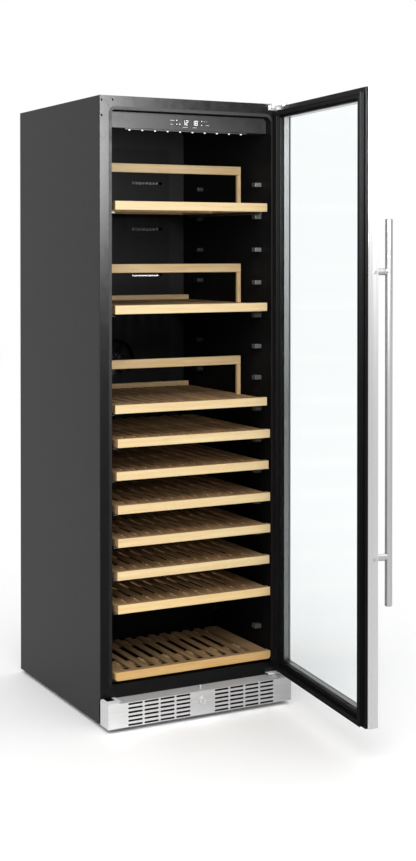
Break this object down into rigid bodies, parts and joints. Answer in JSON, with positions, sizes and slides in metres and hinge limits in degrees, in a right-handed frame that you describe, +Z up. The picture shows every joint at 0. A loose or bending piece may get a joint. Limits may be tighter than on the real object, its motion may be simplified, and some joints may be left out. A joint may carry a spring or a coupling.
{
  "type": "wine cooler",
  "caption": "Tall free-standing wine cooler with a hinged glass door, drawing-out beech shelves, a control panel, a vented kick plate with a lock and a cooling unit in the base.",
  "frame": {"origin": "on the floor under the middle of the cabinet's footprint, without door, kick plate and handle", "axes": "+Z up, -Y out of the front, +X to the hinge side"},
  "size_m": [0.6001, 1.2441, 1.788],
  "materials": {
    "anthracite_sheet": "satin",
    "flange_paint": "satin",
    "zinc_sheet": "satin",
    "stainless": "satin",
    "bracket_steel": "satin",
    "screw_steel": "polished",
    "foam": "matte",
    "liner_plastic": "satin",
    "lug_plastic": "matte",
    "duct_plastic": "matte",
    "fan_plastic": "satin",
    "fin_aluminium": "satin",
    "fascia_plastic": "satin",
    "display_black": "gloss",
    "button_plastic": "gloss",
    "led_white": "gloss",
    "compressor_paint": "gloss",
    "mount_rubber": "matte",
    "inlet_plastic": "satin",
    "foot_plastic": "matte",
    "door_black": "satin",
    "gasket_rubber": "matte",
    "clear_glass": "polished",
    "spacer_aluminium": "satin",
    "bush_plastic": "matte",
    "beech_front": "satin",
    "beech_deck": "satin"
  },
  "bodies": {
    "cabinet": {"side_panel_left": "anthracite_sheet", "side_panel_right": "anthracite_sheet", "top_panel": "anthracite_sheet", "back_panel": "anthracite_sheet", "base_plate": "zinc_sheet", "front_flange": "flange_paint", "insulation_boards": "foam", "inner_liner": "liner_plastic", "shelf_lugs": "lug_plastic", "air_duct": "duct_plastic", "evaporator": "fin_aluminium", "control_fascia": "fascia_plastic", "display_windows": "display_black", "led_strip": "led_white", "kick_plate": "stainless", "hinge_bracket_top": "bracket_steel", "hinge_bracket_bottom": "bracket_steel", "hinge_screws": "screw_steel", "compressor": "compressor_paint", "compressor_mounts": "mount_rubber", "condenser": "fin_aluminium", "power_inlet": "inlet_plastic", "levelling_feet": "foot_plastic", "shelf_front_10": "beech_front", "shelf_deck_10": "beech_deck"},
    "door": {"door_frame": "stainless", "door_liner": "door_black", "door_gasket": "gasket_rubber", "outer_glass": "clear_glass", "inner_glass": "clear_glass", "glass_spacer": "spacer_aluminium", "hinge_bushes": "bush_plastic", "handle_bar": "stainless", "handle_posts": "stainless"},
    "circulation_rotor": {"circulation_fan": "fan_plastic"},
    "condenser_rotor": {"condenser_fan": "fan_plastic"},
    "power_key": {"button_power": "button_plastic"},
    "light_key": {"button_light": "button_plastic"},
    "up_key": {"button_up": "button_plastic"},
    "down_key": {"button_down": "button_plastic"},
    "key_cylinder": {"lock_cylinder": "bracket_steel"},
    "bolt": {"lock_bolt": "bracket_steel"},
    "shelf_1": {"shelf_front_1": "beech_front", "shelf_deck_1": "beech_deck"},
    "shelf_2": {"shelf_front_2": "beech_front", "shelf_deck_2": "beech_deck"},
    "shelf_3": {"shelf_front_3": "beech_front", "shelf_deck_3": "beech_deck"},
    "shelf_4": {"shelf_front_4": "beech_front", "shelf_deck_4": "beech_deck"},
    "shelf_5": {"shelf_front_5": "beech_front", "shelf_deck_5": "beech_deck"},
    "shelf_6": {"shelf_front_6": "beech_front", "shelf_deck_6": "beech_deck"},
    "shelf_7": {"shelf_front_7": "beech_front", "shelf_deck_7": "beech_deck"},
    "shelf_8": {"shelf_front_8": "beech_front", "shelf_deck_8": "beech_deck"},
    "shelf_9": {"shelf_front_9": "beech_front", "shelf_deck_9": "beech_deck"}
  },
  "joints": [
    {"name": "door_swing", "type": "hinge", "parent": "cabinet", "child": "door", "pos_m": [0.2847, -0.348, 0.0975], "axis": [0, 0, 1], "range_deg": [-82.7, 32.3]},
    {"name": "shelf_1_slide", "type": "slide", "parent": "cabinet", "child": "shelf_1", "axis": [0, -1, 0], "range_m": [0, 0.19]},
    {"name": "shelf_2_slide", "type": "slide", "parent": "cabinet", "child": "shelf_2", "axis": [0, -1, 0], "range_m": [0, 0.19]},
    {"name": "shelf_3_slide", "type": "slide", "parent": "cabinet", "child": "shelf_3", "axis": [0, -1, 0], "range_m": [0, 0.19]},
    {"name": "shelf_4_slide", "type": "slide", "parent": "cabinet", "child": "shelf_4", "axis": [0, -1, 0], "range_m": [0, 0.19]},
    {"name": "shelf_5_slide", "type": "slide", "parent": "cabinet", "child": "shelf_5", "axis": [0, -1, 0], "range_m": [0, 0.19]},
    {"name": "shelf_6_slide", "type": "slide", "parent": "cabinet", "child": "shelf_6", "axis": [0, -1, 0], "range_m": [0, 0.19]},
    {"name": "shelf_7_slide", "type": "slide", "parent": "cabinet", "child": "shelf_7", "axis": [0, -1, 0], "range_m": [0, 0.19]},
    {"name": "shelf_8_slide", "type": "slide", "parent": "cabinet", "child": "shelf_8", "axis": [0, -1, 0], "range_m": [0, 0.19]},
    {"name": "shelf_9_slide", "type": "slide", "parent": "cabinet", "child": "shelf_9", "axis": [0, -1, 0], "range_m": [0, 0.19]},
    {"name": "circulation_spin", "type": "hinge", "parent": "cabinet", "child": "circulation_rotor", "pos_m": [0, 0.245, 1], "axis": [0, 1, 0], "continuous": true},
    {"name": "condenser_spin", "type": "hinge", "parent": "cabinet", "child": "condenser_rotor", "pos_m": [0.034, 0.21, 0.13], "axis": [1, 0, 0], "continuous": true},
    {"name": "power_press", "type": "slide", "parent": "cabinet", "child": "power_key", "axis": [0, 1, 0], "range_m": [0, 0.001], "stiffness_N_per_m": 400},
    {"name": "light_press", "type": "slide", "parent": "cabinet", "child": "light_key", "axis": [0, 1, 0], "range_m": [0, 0.001], "stiffness_N_per_m": 400},
    {"name": "up_press", "type": "slide", "parent": "cabinet", "child": "up_key", "axis": [0, 1, 0], "range_m": [0, 0.001], "stiffness_N_per_m": 400},
    {"name": "down_press", "type": "slide", "parent": "cabinet", "child": "down_key", "axis": [0, 1, 0], "range_m": [0, 0.001], "stiffness_N_per_m": 400},
    {"name": "lock_turn", "type": "hinge", "parent": "cabinet", "child": "key_cylinder", "pos_m": [0, -0.371, 0.051], "axis": [0, -1, 0], "range_deg": [0, 90]},
    {"name": "bolt_lift", "type": "slide", "parent": "cabinet", "child": "bolt", "axis": [0, 0, 1], "range_m": [0, 0.0145]}
  ],
  "couplings": [
    {"joint": "bolt_lift", "follows": "lock_turn", "m_per_rad": 0.008913}
  ]
}
